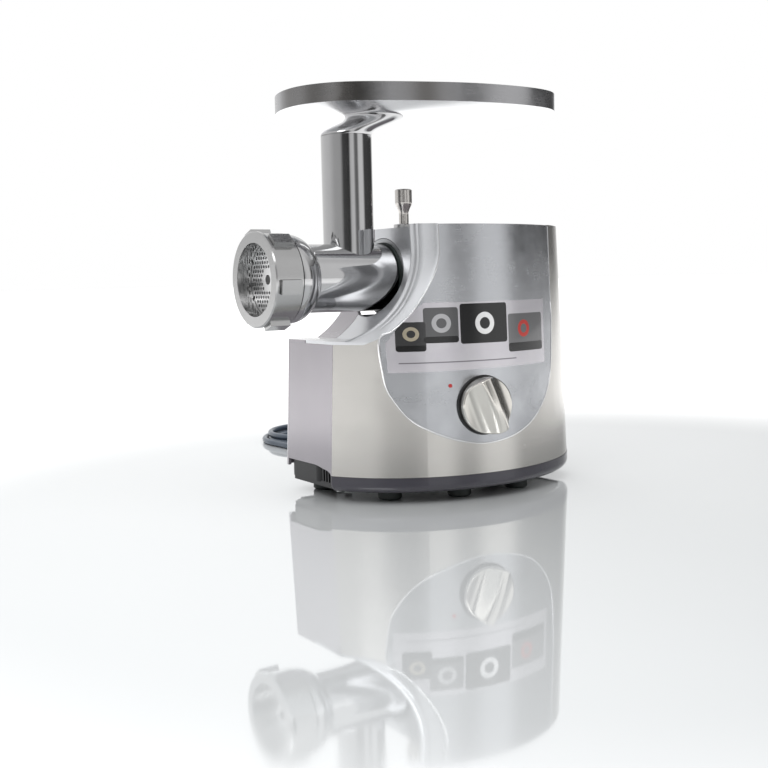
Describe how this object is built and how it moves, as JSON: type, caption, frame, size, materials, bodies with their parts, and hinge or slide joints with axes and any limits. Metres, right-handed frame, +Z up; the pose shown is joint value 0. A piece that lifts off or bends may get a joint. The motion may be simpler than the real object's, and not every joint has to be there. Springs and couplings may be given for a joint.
{
  "type": "electric meat grinder",
  "caption": "Steel-wrapped electric meat grinder: side grinding head with feed tube, loading tray, screen and ring nut, rotary selector on the bowed front.",
  "frame": {"origin": "on the table, under the middle of the object's plan box without the mains cord", "axes": "+Z up, -Y towards the user (the selector's side), the grinding head points along -X"},
  "size_m": [0.307, 0.4662, 0.338],
  "materials": {
    "brushed_steel_wrap": "brushed upright grain, satin",
    "panel_aluminium": "brushed, satin",
    "cast_silver": "silver, smooth satin",
    "grey_panel": "glossy grey",
    "base_plastic": "glossy purple grey",
    "black_plastic": "moulded",
    "foot_rubber": "matt",
    "fastener_steel": "machined",
    "die_cast": "as cast",
    "lamination_steel": "stacked laminations",
    "copper_winding": "copper",
    "brass_fittings": "machined",
    "carbon": "graphite",
    "label_film": "silver film with plain dark panels",
    "mark_red": "printed dot",
    "cord_rubber": "satin slate grey",
    "gear_nylon": "moulded nylon",
    "gear_steel": "hardened",
    "polished_metal": "mirror polished",
    "knife_steel": "ground",
    "tray_steel": "brushed band, bright pan",
    "turned_steel": "turned",
    "knob_satin": "satin plated"
  },
  "bodies": {
    "power_unit": {"steel_wrap": "brushed_steel_wrap", "control_panel": "panel_aluminium", "outlet_bezel": "cast_silver", "left_panel": "grey_panel", "rear_cover": "grey_panel", "top_cover": "grey_panel", "base_skirt": "base_plastic", "bottom_plate": "black_plastic", "vent_grille": "black_plastic", "rubber_feet": "foot_rubber", "base_screws": "fastener_steel", "gearbox_housing": "die_cast", "gearbox_cover": "die_cast", "gearbox_stand": "black_plastic", "motor_stator": "lamination_steel", "field_coils": "copper_winding", "motor_brackets": "die_cast", "brush_holders": "brass_fittings", "carbon_brushes": "carbon", "motor_cradle": "black_plastic", "outlet_socket": "die_cast", "outlet_gasket": "foot_rubber", "lock_pin_bush": "fastener_steel", "lock_pin_spring": "fastener_steel", "knob_bezel": "black_plastic", "rotary_switch": "black_plastic", "front_label": "label_film", "dial_mark": "mark_red", "cord_gland": "cord_rubber", "power_cord": "cord_rubber", "cord_tail": "cord_rubber", "cord_coil": "cord_rubber", "cord_plug": "cord_rubber", "plug_pins": "brass_fittings"},
    "armature": {"armature_shaft": "fastener_steel", "armature_core": "lamination_steel", "commutator": "copper_winding", "cooling_fan": "black_plastic"},
    "first_gear_pair": {"first_layshaft": "fastener_steel", "first_gear": "gear_nylon"},
    "second_gear_pair": {"second_layshaft": "fastener_steel", "second_gear": "gear_nylon"},
    "output_drive": {"output_gear": "gear_steel", "drive_socket": "gear_steel"},
    "head": {"grinder_head": "polished_metal"},
    "screw": {"feed_screw": "polished_metal", "cutting_knife": "knife_steel"},
    "screen": {"perforated_screen": "knife_steel"},
    "ring_nut": {"ring_nut": "polished_metal"},
    "tray": {"tray_pan": "tray_steel", "tray_neck": "polished_metal"},
    "lock_pin": {"lock_pin": "turned_steel"},
    "selector": {"selector_knob": "knob_satin"}
  },
  "joints": [
    {"name": "motor_spin", "type": "hinge", "parent": "power_unit", "child": "armature", "pos_m": [0.0835, -0.0185, 0.06882], "axis": [1, 0, 0], "continuous": true},
    {"name": "first_gear_spin", "type": "hinge", "parent": "power_unit", "child": "first_gear_pair", "pos_m": [0.0215, -0.0225, 0.10163], "axis": [1, 0, 0], "continuous": true},
    {"name": "second_gear_spin", "type": "hinge", "parent": "power_unit", "child": "second_gear_pair", "pos_m": [0.0355, -0.0125, 0.14105], "axis": [1, 0, 0], "continuous": true},
    {"name": "output_spin", "type": "hinge", "parent": "power_unit", "child": "output_drive", "pos_m": [0.0495, 0.0015, 0.1815], "axis": [1, 0, 0], "continuous": true},
    {"name": "head_release", "type": "slide", "parent": "power_unit", "child": "head", "axis": [-1, 0, 0], "range_m": [0, 0.045]},
    {"name": "screw_turn", "type": "hinge", "parent": "head", "child": "screw", "pos_m": [-0.0665, 0.0015, 0.1815], "axis": [1, 0, 0], "continuous": true},
    {"name": "screen_slide", "type": "slide", "parent": "head", "child": "screen", "axis": [-1, 0, 0], "range_m": [0, 0.0066]},
    {"name": "ring_nut_turn", "type": "hinge", "parent": "screen", "child": "ring_nut", "pos_m": [-0.1345, 0.0015, 0.1815], "axis": [-1, 0, 0], "range_deg": [0, 1079.5]},
    {"name": "tray_lift", "type": "slide", "parent": "head", "child": "tray", "axis": [0, 0, 1], "range_m": [0, 0.04]},
    {"name": "lock_pin_pull", "type": "slide", "parent": "power_unit", "child": "lock_pin", "axis": [0, 0, 1], "range_m": [0, 0.005], "stiffness_N_per_m": 900, "springref_m": -0.004, "deforming": ["lock_pin_spring"]},
    {"name": "selector_turn", "type": "hinge", "parent": "power_unit", "child": "selector", "pos_m": [0.0043, -0.10011, 0.077], "axis": [-0.1402, -0.9892, 0.0419], "range_deg": [-45, 45]}
  ],
  "couplings": [
    {"joint": "first_gear_spin", "follows": "motor_spin", "ratio": -0.22222},
    {"joint": "second_gear_spin", "follows": "motor_spin", "ratio": 0.055556},
    {"joint": "output_spin", "follows": "motor_spin", "ratio": -0.016414},
    {"joint": "screw_turn", "follows": "motor_spin", "ratio": -0.016414},
    {"joint": "screen_slide", "follows": "ring_nut_turn", "m_per_rad": 0.00035014}
  ]
}
